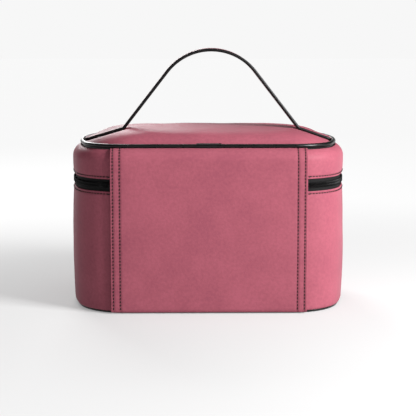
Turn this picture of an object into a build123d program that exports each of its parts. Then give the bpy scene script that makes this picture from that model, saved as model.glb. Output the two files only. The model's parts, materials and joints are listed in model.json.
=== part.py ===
"""Makeup train case: a soft-sided, box-shaped vanity case in leather, with a zipped lid and a strap handle.

The case stands on its flat bottom at z = 0, centred on x = 0 and y = 0. The front faces -Y and the back, where
one centre panel runs from the bottom seam to the top seam and bends as the lid's hinge, faces +Y.
Sizes are in millimetres. An inset is a distance inwards from the outer face of the leather walls.
"""

from build123d import *
from math import atan2, cos, hypot, pi, sin, sqrt
import os

# ---- Overall sizes ----
case_width = 260.0  # across the widest part of the side walls
case_depth = 156.0  # over the front and back walls
seam_height = 155.0  # floor to the middle of the top piping
zip_drop = 35.5  # middle of the top piping down to the middle of the zip
corner_radius = 48.0  # upright corners, in plan
side_bow = 3.0  # how far each side wall bows out at mid-depth
shoulder_radius = 11.0  # rounding of the lid's wall towards the top seam
foot_radius = 5.0  # rounding of the wall towards the bottom seam
seam_drop = 2.3  # the walls' form ends this far below the middle of the top piping

# ---- Sheet materials ----
leather = 1.4
foam_wall = 3.0
board = 3.0
lining = 0.6
layer_gap = 0.1  # glue line between two layers that lie on each other
tape_room = 0.9  # room between leather and foam for the zip tape and the piping's flange

# ---- Back panel, which is also the hinge ----
panel_width = 181.0
panel_overlap = 10.0  # how far each wall end runs on underneath the panel
fold_height = 6.0  # the strip of panel that bends
hinge_clearance = 0.15  # hinge line outside the panel's outer face

# ---- Piping ----
top_bead = 4.0
top_bead_inset = 8.5
bottom_bead = 3.0
bottom_bead_inset = 2.9
bead_lift = 0.2  # the bottom piping clears the floor by this
flange = 0.8
flange_depth = 6.0
sleeve_length = 23.0
sleeve_wall = 0.6
sleeve_clearance = 0.1
sleeve_depth = 1.2  # the sleeve is open below this depth under the middle of the piping

# ---- Zip ----
zip_opening = 11.4  # bare band between the two leather edges
tape = 0.8
tape_reach = 14.0  # middle of the zip to the hidden edge of each tape
tape_start = 1.0
coil_start = 0.8  # half the gap that the slider's post runs in
coil_height = 2.2
coil = 2.0
tape_tuck = 6.0  # how far the tape runs on underneath the back panel
coil_end_gap = 0.3  # coil ends short of the panel's edge

# ---- Zip sliders and their pulls ----
slider_length = 12.0
slider_width = 8.8
slider_plate = 1.2
slider_running_gap = 0.3
slider_spacing = 14.0
slider_lip = 1.1
post_length = 3.0
post_thickness = 1.0
bridge_length = 8.0
bridge_width = 2.6
bridge_leg = 1.3
bridge_bar = 1.0
bridge_opening = 1.7
pull_length = 24.0
pull_width = 7.0
pull_thickness = 1.2
pull_eye_width = 4.2
pull_eye_length = 5.0
pull_hole_radius = 1.2
pull_end_radius = 2.2

# ---- Domed lid top ----
dome_rise = 13.0
dome_gap = 0.1  # top panel ends this far inside the piping
pad_gap = 0.3
DOME_RINGS = (1.0, 0.96, 0.91, 0.84, 0.75, 0.6, 0.4, 0.18)  # shares of the outline, edge to middle
DOME_POWER = 5  # height falls with this power of the share

# ---- Strap handle ----
handle_width = 25.0
handle_thickness = 3.0
handle_rise = 88.2  # outer face of the arch above the middle of the top piping
handle_top_radius = 55.0
handle_foot = 84.5  # bends of the strap, each side of the middle
handle_dome_gap = 0.5
anchor_seam_gap = 1.6  # each anchor stops this far inside the edge of the domed top
anchor_runs = 4  # straight runs that follow the dome
anchor_stub = 1.0  # how far an anchor reaches up the leg beyond its bend
root_rise = 13.0  # height of the flexing stretch at the foot of each leg
strap_gap = 0.2

# ---- Inside ----
pocket_width = 140.0
pocket_low = 16.0
pocket_high = 84.0
pocket_gap = 0.4
elastic_height = 8.0
elastic = 0.8

# ---- Worked out from the sizes above ----
half_width = case_width / 2
half_depth = case_depth / 2
form_top = seam_height - seam_drop
zip_height = seam_height - zip_drop
zip_half = zip_opening / 2
tape_inset = leather + layer_gap
foam_inset = leather + layer_gap + tape_room
lining_inset = foam_inset + foam_wall + layer_gap
inner_inset = lining_inset + lining
lining_edge = zip_half + 1.2  # middle of the zip to the turned edge of each lining
foam_edge = lining_edge + lining + layer_gap
hinge_y = half_depth + leather + hinge_clearance
board_low = leather + layer_gap
floor_low = board_low + board + layer_gap
ceiling_low = form_top - inner_inset
top_bead_radius = top_bead / 2
bottom_bead_radius = bottom_bead / 2
bottom_bead_height = bead_lift + bottom_bead_radius
wall_low = bottom_bead_height + bottom_bead_radius * 0.6
dome_inset = top_bead_inset + top_bead_radius + dome_gap
dome_low = seam_height - 1.0
side_run = half_depth - corner_radius
side_radius = (side_run**2 + side_bow**2) / (2 * side_bow)
side_centre_x = half_width - side_radius
corner_x = side_centre_x + sqrt((side_radius - corner_radius) ** 2 - side_run**2)
TALL = 2 * seam_height
WIDE = 2 * case_width


def outline(inset):
    """Plan of the case at an inset: flat front and back, round corners, bowed sides."""
    reach = hypot(corner_x - side_centre_x, side_run)
    ux, uy = (corner_x - side_centre_x) / reach, side_run / reach
    flat_y = half_depth - inset
    side_x = half_width - inset
    join_x = side_centre_x + (side_radius - inset) * ux
    join_y = (side_radius - inset) * uy
    half_turn = (pi / 2 + atan2(uy, ux)) / 2
    mid_x = corner_x + (corner_radius - inset) * cos(half_turn)
    mid_y = side_run + (corner_radius - inset) * sin(half_turn)
    edges = [Line((-corner_x, flat_y), (corner_x, flat_y))]
    edges.append(ThreePointArc((corner_x, flat_y), (mid_x, mid_y), (join_x, join_y)))
    edges.append(ThreePointArc((join_x, join_y), (side_x, 0), (join_x, -join_y)))
    edges.append(ThreePointArc((join_x, -join_y), (mid_x, -mid_y), (corner_x, -flat_y)))
    edges.append(Line((corner_x, -flat_y), (-corner_x, -flat_y)))
    edges.append(ThreePointArc((-corner_x, -flat_y), (-mid_x, -mid_y), (-join_x, -join_y)))
    edges.append(ThreePointArc((-join_x, -join_y), (-side_x, 0), (-join_x, join_y)))
    edges.append(ThreePointArc((-join_x, join_y), (-mid_x, mid_y), (-corner_x, flat_y)))
    return Wire(edges)


def prism(inset, low, high):
    """Upright solid of the plan at an inset, between two heights."""
    return extrude(Pos(0, 0, low) * Face(outline(inset)), amount=high - low, dir=(0, 0, 1))


def ring(outer_inset, inner_inset_, low, high):
    """Upright band between two insets."""
    return prism(outer_inset, low, high) - prism(inner_inset_, low - 1, high + 1)


def block(x0, x1, y0, y1, z0, z1):
    """Box between two corners."""
    return Pos((x0 + x1) / 2, (y0 + y1) / 2, (z0 + z1) / 2) * Box(x1 - x0, y1 - y0, z1 - z0)


def form(inset):
    """The case as one full solid at an inset, with its round shoulder and foot."""
    body = prism(inset, inset, form_top - inset)
    shoulder = shoulder_radius - inset
    body = fillet(body.edges().group_by(Axis.Z)[-1], shoulder)
    if foot_radius - inset > 0.5:
        body = fillet(body.edges().group_by(Axis.Z)[0], foot_radius - inset)
    return body


FORMS = {}


def skin(outer_inset, inner_inset_):
    """Layer of the case between two insets."""
    for inset in (outer_inset, inner_inset_):
        if inset not in FORMS:
            FORMS[inset] = form(inset)
    return FORMS[outer_inset] - FORMS[inner_inset_]


def slab(low, high):
    """Everything between two heights."""
    return block(-WIDE, WIDE, -WIDE, WIDE, low, high)


def behind(half):
    """Everything behind the middle of the case within a half-width."""
    return block(-half, half, 0, WIDE, -TALL, TALL)


def bead(inset, height, radius):
    """Round cord that follows the plan at an inset."""
    start = Plane(origin=(-corner_x, half_depth - inset, height), z_dir=(1, 0, 0))
    return sweep(start * Circle(radius), path=Pos(0, 0, height) * outline(inset))


# ---- Walls, bottom and back panel ----


def bottom_parts():
    """Bottom leather, its board, the bottom piping and the floor's lining."""
    edge = bottom_bead_inset + bottom_bead_radius + layer_gap
    cord = bead(bottom_bead_inset, bottom_bead_height, bottom_bead_radius)
    strip = skin(tape_inset, tape_inset + flange) & slab(bottom_bead_height, bottom_bead_height + flange_depth)
    strip -= prism(bottom_bead_inset, -TALL, TALL)
    return {
        "bottom_panel": prism(edge, 0, leather),
        "base_board": prism(edge, board_low, board_low + board),
        "bottom_piping": cord + strip,
        "base_floor_lining": prism(inner_inset + layer_gap, floor_low, floor_low + lining),
    }


def wall_parts():
    """Leather, foam and lining of the base's wall and of the lid's wall."""
    wall = skin(0, leather) - behind(panel_width / 2 - panel_overlap)
    foam = skin(foam_inset, foam_inset + foam_wall) - prism(foam_inset + foam_wall, -TALL, zip_height)
    cloth = skin(lining_inset, inner_inset) - prism(inner_inset, -TALL, zip_height)
    bead_groove = bead(bottom_bead_inset, bottom_bead_height, bottom_bead_radius + layer_gap)
    seam_cut = prism(top_bead_inset - top_bead_radius - dome_gap, -TALL, TALL)
    foam_cut = prism(top_bead_inset - flange, -TALL, TALL)
    cloth_cut = prism(top_bead_inset + flange, form_top - shoulder_radius, TALL)
    low_hem = ring(foam_inset, inner_inset, zip_height - lining_edge - lining, zip_height - lining_edge)
    high_hem = ring(foam_inset, inner_inset, zip_height + lining_edge, zip_height + lining_edge + lining)
    return {
        "base_wall": (wall & slab(wall_low, zip_height - zip_half)) - bead_groove,
        "base_foam": foam & slab(floor_low, zip_height - foam_edge),
        "base_lining": (cloth & slab(floor_low, zip_height - lining_edge)) + low_hem,
        "lid_wall": (wall & slab(zip_height + zip_half, TALL)) - seam_cut,
        "lid_foam": (foam & slab(zip_height + foam_edge, TALL)) - foam_cut,
        "lid_lining": ((cloth & slab(zip_height + lining_edge, TALL)) - cloth_cut) + high_hem,
    }


def back_parts():
    """The back panel in its two halves and its bending strip, its backing, and the lining over the hinge."""
    half = panel_width / 2
    under = half - panel_overlap - layer_gap
    seam_cut = prism(top_bead_inset - top_bead_radius - dome_gap, -TALL, TALL)
    panel = ((skin(-leather, 0) & behind(half)) - seam_cut) & slab(wall_low, TALL)
    backing = ((skin(0, leather) & behind(under)) - seam_cut) & slab(wall_low, TALL)
    bead_groove = bead(bottom_bead_inset, bottom_bead_height, bottom_bead_radius + layer_gap)
    strip_low, strip_high = zip_height - fold_height / 2, zip_height + fold_height / 2
    hinge_lining = skin(lining_inset, inner_inset) & behind(corner_x - panel_overlap)
    return {
        "back_panel_lower": panel & slab(wall_low, strip_low),
        "back_panel_fold": panel & slab(strip_low, strip_high),
        "back_panel_upper": (panel & slab(strip_high, TALL)) - sleeve_room(),
        "back_backing_lower": (backing & slab(wall_low, strip_low)) - bead_groove,
        "back_backing_upper": backing & slab(strip_high, TALL),
        "hinge_lining": hinge_lining & slab(zip_height - lining_edge, zip_height + lining_edge),
    }


# ---- Lid top and piping ----


def along_back_seam(shape):
    """A shape about the Z axis, laid along the piping at the middle of the back."""
    return Pos(0, half_depth - top_bead_inset, seam_height) * Rot(0, 90, 0) * shape


def sleeve_room():
    """Space that the piping's joint sleeve needs in the leather on either side of the piping."""
    outer = top_bead_radius + sleeve_clearance + sleeve_wall
    return along_back_seam(Cylinder(outer + layer_gap, sleeve_length + 2 * layer_gap))


def dome_height(share):
    """Height of the domed top above its edge, at a share of the outline."""
    return dome_rise * (1 - share**DOME_POWER)


def dome(drop, inset):
    """The dome as a full solid, moved down by a drop."""
    rings = [Pos(0, 0, dome_low + dome_height(k) - drop) * scale(outline(inset), k) for k in DOME_RINGS]
    return Solid(loft([Face(Wire(r.edges())) for r in rings]).solid().wrapped)


def lid_top_parts():
    """Domed leather, its padding, the stiff board, the ceiling lining, the piping and the piping's joint sleeve."""
    board_inset = top_bead_inset + flange / 2 + 2 * layer_gap
    board_base = ceiling_low + lining + layer_gap
    board_top = board_base + board
    top_skin = dome(0, dome_inset) - dome(leather, dome_inset)
    pad = dome(leather + pad_gap, dome_inset) & slab(board_top + layer_gap, TALL)
    cord = bead(top_bead_inset, seam_height, top_bead_radius)
    strip = ring(
        top_bead_inset - flange / 2,
        top_bead_inset + flange / 2,
        board_base + board / 2,
        seam_height - top_bead_radius / 2,
    )
    bore = top_bead_radius + sleeve_clearance
    sleeve = along_back_seam(Cylinder(bore + sleeve_wall, sleeve_length) - Cylinder(bore, sleeve_length))
    return {
        "lid_top_panel": (top_skin & slab(dome_low, TALL)) - sleeve_room(),
        "lid_padding": pad,
        "lid_board": prism(board_inset, board_base, board_top),
        "lid_ceiling_lining": prism(top_bead_inset + flange + layer_gap, ceiling_low, ceiling_low + lining),
        "top_piping": cord + strip,
        "piping_sleeve": sleeve & slab(seam_height - sleeve_depth, TALL),
    }


# ---- Zip ----


def zip_parts():
    """Tape and coil, each in a lower and an upper half, from one side of the back panel round to the other."""
    half = panel_width / 2
    tape_end, coil_end = behind(half - tape_tuck), behind(half + coil_end_gap)
    made = {}
    for name, side in (("lower", -1), ("upper", 1)):
        near, far = sorted((zip_height + side * tape_start, zip_height + side * tape_reach))
        strip = ring(tape_inset, tape_inset + tape, near, far)
        made["zip_tape_" + name] = strip - tape_end
        near, far = sorted((zip_height + side * coil_start, zip_height + side * (coil_start + coil_height)))
        chain = ring(tape_inset - coil, tape_inset, near, far)
        made["zip_coil_" + name] = chain - coil_end
    return made


def slider(side):
    """One slider at the middle of the front, its nose towards the other slider. Side is -1 for left, 1 for right."""
    face_y = -half_depth
    outer_y = face_y + tape_inset - coil - slider_running_gap - slider_plate
    inner_y = face_y + tape_inset - coil - slider_running_gap
    back_y = face_y + tape_inset + tape + slider_running_gap
    half_long, half_wide = slider_length / 2, slider_width / 2
    front = block(-half_long, half_long, outer_y, inner_y, -half_wide, half_wide)
    front = fillet(front.edges().filter_by(Axis.Y), half_wide * 0.5)
    rear = block(-half_long, half_long, back_y, back_y + slider_plate, -half_wide, half_wide)
    rear = fillet(rear.edges().filter_by(Axis.Y), half_wide * 0.5)
    lip_y = face_y + tape_inset - slider_running_gap
    lip_end = half_long - half_wide * 0.5
    lip = block(-lip_end, lip_end, inner_y, lip_y, -half_wide, slider_lip - half_wide)
    nose = -side * half_long
    post = block(*sorted((nose, nose + side * post_length)), inner_y, back_y, -post_thickness / 2, post_thickness / 2)
    half_bridge = bridge_length / 2
    top_y = outer_y - bridge_opening - bridge_bar
    arch = block(-half_bridge, half_bridge, top_y, outer_y, -bridge_width / 2, bridge_width / 2)
    arch = fillet(arch.edges().filter_by(Axis.Z).group_by(Axis.Y)[0], bridge_bar)
    gap_half = half_bridge - bridge_leg
    arch -= block(-gap_half, gap_half, top_y + bridge_bar, outer_y, -slider_width, slider_width)
    return Pos(side * slider_spacing / 2, 0, zip_height) * (front + rear + lip + post + arch)


def pull_axis():
    """Distance of a pull's pivot in front of the middle of the case."""
    outer_y = -half_depth + tape_inset - coil - slider_running_gap - slider_plate
    return outer_y - bridge_opening / 2


def pull(side):
    """One pull, lying flat along the zip and pointing away from the other slider."""
    half_wide, half_thick = pull_width / 2, pull_thickness / 2
    start = -half_thick
    plate = block(start, pull_length, -half_thick, half_thick, -half_wide, half_wide)
    plate = fillet(plate.edges().filter_by(Axis.Y).group_by(Axis.X)[-1], pull_end_radius)
    half_eye = pull_eye_width / 2
    plate -= block(half_thick, pull_eye_length, -half_wide, half_wide, -half_eye, half_eye)
    bar_round = block(start, half_thick, -half_thick, half_thick, -half_wide, half_wide)
    bar_round = fillet(bar_round.edges().filter_by(Axis.Z), half_thick * 0.9)
    tab = plate & block(half_thick - 0.1, pull_length, -half_wide, half_wide, -half_wide, half_wide)
    hole_x = pull_length - pull_end_radius - pull_hole_radius
    hole = Pos(hole_x, 0, 0) * Rot(90, 0, 0) * Cylinder(pull_hole_radius, pull_width)
    made = (tab + bar_round) - hole
    turned = made if side > 0 else Rot(0, 0, 180) * made
    return Pos(side * slider_spacing / 2, pull_axis(), zip_height) * turned


# ---- Handle ----


def strap_line():
    """Middle line of the strap on the +X side: points along the dome, top of the leg, and height of the arch."""
    middle_radius = handle_top_radius - handle_thickness / 2
    centre_z = seam_height + handle_rise - handle_top_radius
    dome_reach = half_width - dome_inset
    lift = handle_dome_gap + handle_thickness / 2
    first = dome_reach - anchor_seam_gap
    lying = []
    for i in range(anchor_runs + 1):
        x = first + (handle_foot - first) * i / anchor_runs
        lying.append((x, dome_low + dome_height(x / dome_reach) + lift))
    bend = lying[-1]
    away = hypot(bend[0], bend[1] - centre_z)
    swing = atan2(bend[1] - centre_z, bend[0]) + atan2(sqrt(away**2 - middle_radius**2), middle_radius)
    leg_top = (middle_radius * cos(swing), centre_z + middle_radius * sin(swing))
    return lying, leg_top, centre_z


def strip_piece(points):
    """Strap piece of full thickness and width along straight runs in the XZ plane, mitred where it bends."""
    normals = []
    for (x0, z0), (x1, z1) in zip(points, points[1:]):
        run = hypot(x1 - x0, z1 - z0)
        normals.append(((z1 - z0) / run, -(x1 - x0) / run))
    sides = [[], []]
    for i, (x, z) in enumerate(points):
        a, b = normals[max(i - 1, 0)], normals[min(i, len(normals) - 1)]
        grow = handle_thickness / 2 / (1 + a[0] * b[0] + a[1] * b[1])
        for side, sign in zip(sides, (1, -1)):
            side.append((x + sign * grow * (a[0] + b[0]), z + sign * grow * (a[1] + b[1])))
    corners = sides[0] + sides[1][::-1]
    face = make_face(Polyline(*[(x, 0, z) for x, z in corners], close=True))
    return extrude(face, amount=handle_width / 2, dir=(0, 1, 0), both=True)


def handle_parts():
    """The strap: an anchor on each side of the lid, a flexing root above each anchor, and the arch."""
    lying, leg_top, centre_z = strap_line()
    bend = lying[-1]
    leg = hypot(leg_top[0] - bend[0], leg_top[1] - bend[1])
    ux, uz = (leg_top[0] - bend[0]) / leg, (leg_top[1] - bend[1]) / leg

    def on_leg(distance):
        return (bend[0] + ux * distance, bend[1] + uz * distance)

    root_end = root_rise / uz
    anchor = strip_piece([*lying, on_leg(anchor_stub)])
    root = strip_piece([on_leg(anchor_stub + strap_gap), on_leg(root_end - strap_gap)])
    leg_piece = strip_piece([on_leg(root_end), leg_top])
    middle = Pos(0, 0, centre_z) * Rot(90, 0, 0)
    outer = Cylinder(handle_top_radius, handle_width)
    inner = Cylinder(handle_top_radius - handle_thickness, handle_width)
    span = atan2(leg_top[1] - centre_z, leg_top[0])
    reach = 2 * handle_top_radius
    corners = [(0, 0, centre_z), (reach * cos(span), 0, centre_z + reach * sin(span))]
    corners.append((0, 0, centre_z + 2 * reach))
    corners.append((-reach * cos(span), 0, centre_z + reach * sin(span)))
    fan = extrude(make_face(Polyline(*corners, close=True)), amount=handle_width, dir=(0, 1, 0), both=True)
    arch = (middle * (outer - inner)) & fan
    strap = arch + leg_piece + mirror(leg_piece, about=Plane.YZ)
    return {
        "handle_strap": strap,
        "handle_root_right": root,
        "handle_root_left": mirror(root, about=Plane.YZ),
        "handle_anchor_right": anchor,
        "handle_anchor_left": mirror(anchor, about=Plane.YZ),
    }


# ---- Inside ----


def pocket_parts():
    """Slip pocket on the back of the inside, and the elastic along its top edge."""
    wall_y = half_depth - inner_inset
    half = pocket_width / 2
    near = wall_y - pocket_gap
    return {
        "slip_pocket": block(-half, half, near - lining, near, pocket_low, pocket_high),
        "pocket_elastic": block(
            -half, half, near - lining - elastic, near - lining, pocket_high - elastic_height, pocket_high
        ),
    }


def main():
    os.makedirs("parts", exist_ok=True)
    parts = {}
    parts.update(bottom_parts())
    parts.update(wall_parts())
    parts.update(back_parts())
    parts.update(lid_top_parts())
    parts.update(zip_parts())
    parts.update(handle_parts())
    parts.update(pocket_parts())
    for name, side in (("left", -1), ("right", 1)):
        parts["zip_slider_" + name] = slider(side)
        parts["zip_pull_" + name] = pull(side)
    for name, shape in parts.items():
        export_step(shape, "parts/" + name + ".step")
    print("hinge line y", round(hinge_y, 3), "z", round(zip_height, 3))
    print("pull pivot y", round(pull_axis(), 3), "straight front run", round(corner_x, 2))
    bend = strap_line()[0][-1]
    print("strap bend", [round(v, 2) for v in bend], "handle pivot z", round(bend[1] + root_rise, 3))


main()
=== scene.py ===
# Soft-sided train case in rose leather: its visible pieces, their finishes, the studio and the camera.
# The case stands on its bottom with its back towards +Y, and the camera looks at that back. Lengths are in metres.
# An inset is a distance inwards from the outer face of the walls, as in the part's own source.

import bpy
import bmesh
import json
from math import acos, atan2, cos, exp, hypot, pi, radians, sin, sqrt
from mathutils import Matrix, Vector, noise


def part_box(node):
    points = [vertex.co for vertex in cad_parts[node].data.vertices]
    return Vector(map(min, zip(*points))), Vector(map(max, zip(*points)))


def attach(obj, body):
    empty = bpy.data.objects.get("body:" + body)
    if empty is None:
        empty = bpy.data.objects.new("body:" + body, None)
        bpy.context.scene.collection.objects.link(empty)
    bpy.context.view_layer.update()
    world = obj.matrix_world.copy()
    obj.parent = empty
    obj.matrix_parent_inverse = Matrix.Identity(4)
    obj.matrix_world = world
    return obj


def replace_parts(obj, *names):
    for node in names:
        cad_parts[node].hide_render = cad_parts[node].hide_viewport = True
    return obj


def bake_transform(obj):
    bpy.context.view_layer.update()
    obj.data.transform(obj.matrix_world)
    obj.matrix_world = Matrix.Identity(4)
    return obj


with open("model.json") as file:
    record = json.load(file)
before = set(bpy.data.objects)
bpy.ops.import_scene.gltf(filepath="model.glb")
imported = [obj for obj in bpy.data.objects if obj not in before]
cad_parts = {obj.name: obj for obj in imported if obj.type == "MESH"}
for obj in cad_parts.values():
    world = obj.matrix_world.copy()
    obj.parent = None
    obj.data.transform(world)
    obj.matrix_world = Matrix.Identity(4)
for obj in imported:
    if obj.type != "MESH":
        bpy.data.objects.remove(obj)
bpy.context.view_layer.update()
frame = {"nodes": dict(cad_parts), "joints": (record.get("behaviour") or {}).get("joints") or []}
MM = 0.001

# ---- Camera ----
CAMERA_DISTANCE = 1.185
CAMERA_SIDE = 0.015
CAMERA_HEIGHT = 0.2675
CAMERA_DROP = radians(6.9)
CAMERA_LENS = 105.7
CAMERA_SHIFT = 0.09

lens = bpy.data.cameras.new("camera")
lens.sensor_width = 36
lens.lens = CAMERA_LENS
lens.shift_y = -CAMERA_SHIFT
camera = bpy.data.objects.new("camera", lens)
camera.location = (CAMERA_SIDE, CAMERA_DISTANCE, CAMERA_HEIGHT)
camera.rotation_euler = (pi / 2 - CAMERA_DROP, 0, pi - atan2(CAMERA_SIDE, CAMERA_DISTANCE))
bpy.context.scene.collection.objects.link(camera)
bpy.context.scene.camera = camera
bpy.context.scene.view_settings.view_transform = "Standard"

# ---- Sizes from the frame ----
joints = {joint["name"]: joint for joint in frame["joints"]}
zip_height = joints["lid_hinge"]["pos_m"][2]
half_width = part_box("base_wall")[1].x
half_depth = -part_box("base_wall")[0].y
panel_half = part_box("back_panel_lower")[1].x
panel_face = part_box("back_panel_lower")[1].y
leather = panel_face - half_depth
wall_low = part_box("base_wall")[0].z
base_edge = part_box("base_wall")[1].z
lid_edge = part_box("lid_wall")[0].z
floor_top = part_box("base_floor_lining")[1].z
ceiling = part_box("lid_ceiling_lining")[0].z
wall_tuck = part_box("back_backing_lower")[1].x
top_bead_radius = 2 * MM
SEAM_DROP = 2.3 * MM  # the walls end this far below the middle of the top piping
seam_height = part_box("top_piping")[1].z - top_bead_radius
form_top = seam_height - SEAM_DROP
bead_inset = half_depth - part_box("top_piping")[1].y + top_bead_radius

# ---- Sizes of the plan and the roundings, as in the part's source ----
CORNER_RADIUS = 48 * MM
SIDE_BOW = 3 * MM
SHOULDER_RADIUS = 11 * MM
FOOT_RADIUS = 5 * MM

side_run = half_depth - CORNER_RADIUS
side_radius = (side_run**2 + SIDE_BOW**2) / (2 * SIDE_BOW)
side_centre = half_width - side_radius
corner_x = side_centre + sqrt((side_radius - CORNER_RADIUS) ** 2 - side_run**2)
join_angle = atan2(side_run, corner_x - side_centre)


# ---- Moves: how a profile or a stitch is carried along ----


def straight(vector, pitch=3 * MM):
    """A move along a vector: its length, its usual step and its matrix at a share of the way."""
    vector = Vector(vector)
    return vector.length, pitch, lambda share: Matrix.Translation(vector * share)


def turn(centre, axis, angle, radius, pitch=3 * MM):
    """A move round a centre, through an angle about an axis."""
    there, back = Matrix.Translation(centre), Matrix.Translation(-Vector(centre))
    return abs(angle) * radius, pitch, lambda share: there @ Matrix.Rotation(angle * share, 4, axis) @ back


def poses(moves, pitch=None):
    """Matrices that carry a shape along the moves, step by step, from where it is."""
    carried = Matrix.Identity(4)
    found = [carried]
    for length, usual, part in moves:
        steps = max(1, round(length / (pitch or usual)))
        found += [part(i / steps) @ carried for i in range(1, steps + 1)]
        carried = part(1) @ carried
    return found


def round_the_case(first_x, last_x, pitch=3 * MM):
    """Moves from first_x on the back, round the +X side, the front and the -X side, to last_x on the back."""
    corner_turn, side_turn = join_angle - pi / 2, -2 * join_angle
    moves = [straight((corner_x - first_x, 0, 0), pitch)]
    for side in (1, -1):
        corner = Vector((side * corner_x, side * side_run, 0))
        moves.append(turn(corner, "Z", corner_turn, CORNER_RADIUS, pitch))
        moves.append(turn((side * side_centre, 0, 0), "Z", side_turn, side_radius, pitch))
        moves.append(turn((side * corner_x, -side * side_run, 0), "Z", corner_turn, CORNER_RADIUS, pitch))
        if side == 1:
            moves.append(straight((-2 * corner_x, 0, 0), pitch))
    moves.append(straight((corner_x + last_x, 0, 0), pitch))
    return moves


def extrude(bm, edges):
    """Extrudes edges where they are, and returns the new edges and the new vertices."""
    made = bmesh.ops.extrude_edge_only(bm, edges=edges)["geom"]
    new_edges = [part for part in made if isinstance(part, bmesh.types.BMEdge)]
    return new_edges, [part for part in made if isinstance(part, bmesh.types.BMVert)]


def carry(bm, edges, matrices):
    """Extrudes edges from the first matrix's place to each next one."""
    for before, after in zip(matrices, matrices[1:]):
        edges, verts = extrude(bm, edges)
        bmesh.ops.transform(bm, matrix=after @ before.inverted(), verts=verts)


def sweep(bm, edges, moves, close=False):
    """Extrudes edges along the moves. A closed sweep is welded where it meets its start."""
    carry(bm, edges, poses(moves))
    if close:
        bmesh.ops.remove_doubles(bm, verts=bm.verts, dist=0.02 * MM)


def loop_through(bm, points):
    """A closed chain of edges through points."""
    verts = [bm.verts.new(point) for point in points]
    return [bm.edges.new(pair) for pair in zip(verts, verts[1:] + verts[:1])]


def plan_ring(bm, inset, z, pitch=3 * MM):
    """A loop along the plan at an inset and a height."""
    start = Vector((0, half_depth - inset, z))
    return loop_through(bm, [pose @ start for pose in poses(round_the_case(0, 0, pitch))[:-1]])


def profile(bm, points, x=0):
    """A loop through points that are (inset, height) on the back wall, at x."""
    return loop_through(bm, [(x, half_depth - inset, z) for inset, z in points])


# ---- Softness: how far the leather stands proud of its flat form ----
BULGE = 1.5 * MM
BULGE_POWER = 0.7  # below 1, the bulge rises fast beside a seam and is flatter between seams
LID_SHARE = 0.55  # of the bulge, on the lid's low walls
PANEL_SHARE = 0.6  # of the bulge, on the stiffer back panel
WAVE = 0.45 * MM
WAVE_COARSE, WAVE_FINE = 22, 60  # noise scales, per metre
SEAM_FADE = 26 * MM  # the walls are held flat at the back panel and are free this far from it


def smooth_step(value, low, high):
    """0 up to low, 1 from high on, and a smooth rise between."""
    share = min(1, max(0, (value - low) / (high - low)))
    return share * share * (3 - 2 * share)


def outward(point):
    """Direction away from the case in plan, square to its outline."""
    x, y = point.x, point.y
    if abs(x) <= corner_x:
        return Vector((0, 1 if y > 0 else -1, 0))
    arm = Vector((abs(x) - corner_x, abs(y) - side_run, 0))
    if arm.y <= 0 or atan2(arm.y, arm.x) < join_angle:
        arm = Vector((abs(x) - side_centre, abs(y), 0))
    arm.normalize()
    return Vector((arm.x * (1 if x > 0 else -1), arm.y * (1 if y > 0 else -1), 0))


def between(z, low, high):
    """0 at two seams and 1 half-way between them, by height."""
    share = (z - low) / (high - low)
    return sin(pi * share) ** BULGE_POWER if 0 < share < 1 else 0


def puff(point):
    """How far the walls bulge between their seams, with the slow unevenness of leather over foam."""
    x, y, z = point
    if z < zip_height:
        full = between(z, wall_low, base_edge)
    else:
        full = between(z, lid_edge, form_top) * LID_SHARE
    beyond = abs(x) - panel_half
    if y > 0 and beyond < 0:
        side = 1 - (abs(x) / panel_half) ** 6
        full = between(z, wall_low, form_top) * PANEL_SHARE
    elif y > 0:
        side = smooth_step(beyond, 0, SEAM_FADE)
    else:
        side = 1
    wave = noise.noise(point * WAVE_COARSE) + 0.35 * noise.noise(point * WAVE_FINE)
    return (BULGE * full + WAVE * wave * full) * side


def relax(bm):
    """Moves every vertex out by the bulge at its place."""
    for vert in bm.verts:
        vert.co += outward(vert.co) * puff(vert.co)


def bend_at_hinge(piece):
    """Bakes a piece's place into its mesh."""
    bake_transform(piece)


def bend_at_strap_feet(piece):
    """Bakes a piece's place into its mesh."""
    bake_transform(piece)


def make_piece(name, bm, body, materials):
    """Turns a bmesh into a named piece on a body, with its materials in order."""
    mesh = bpy.data.meshes.new(name)
    bm.to_mesh(mesh)
    bm.free()
    piece = bpy.data.objects.new(name, mesh)
    bpy.context.scene.collection.objects.link(piece)
    for material in materials:
        mesh.materials.append(material)
    mesh.shade_smooth()
    if body:
        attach(piece, body)
    return piece


def cap_ends(bm):
    """Closes every open end of a swept tube and points the faces outwards."""
    open_edges = [edge for edge in bm.edges if edge.is_boundary]
    bmesh.ops.holes_fill(bm, edges=open_edges, sides=0)
    bmesh.ops.recalc_face_normals(bm, faces=bm.faces)


def thicken(bm, thickness):
    """Gives a single layer of faces a thickness and points its faces outwards."""
    bmesh.ops.solidify(bm, geom=bm.faces[:], thickness=thickness)
    bmesh.ops.recalc_face_normals(bm, faces=bm.faces)


def round_off(bm, edges):
    """Rounds edges of leather a little."""
    bmesh.ops.bevel(
        bm, geom=edges, offset=0.5 * MM, offset_type="OFFSET", segments=3, profile=0.5, affect="EDGES", material=-1
    )


def paint_seam_shade(bm, value):
    """Stores how much painted shade a stitch groove lays on every vertex, worked out from its place."""
    layer = bm.verts.layers.float.new("seam")
    for vert in bm.verts:
        vert[layer] = value(vert.co)


# ---- Finishes ----


def colour(text):
    """Linear colour of an sRGB hex value."""
    parts = [int(text[i : i + 2], 16) / 255 for i in (1, 3, 5)]
    return [p / 12.92 if p <= 0.04045 else ((p + 0.055) / 1.055) ** 2.4 for p in parts] + [1]


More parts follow.
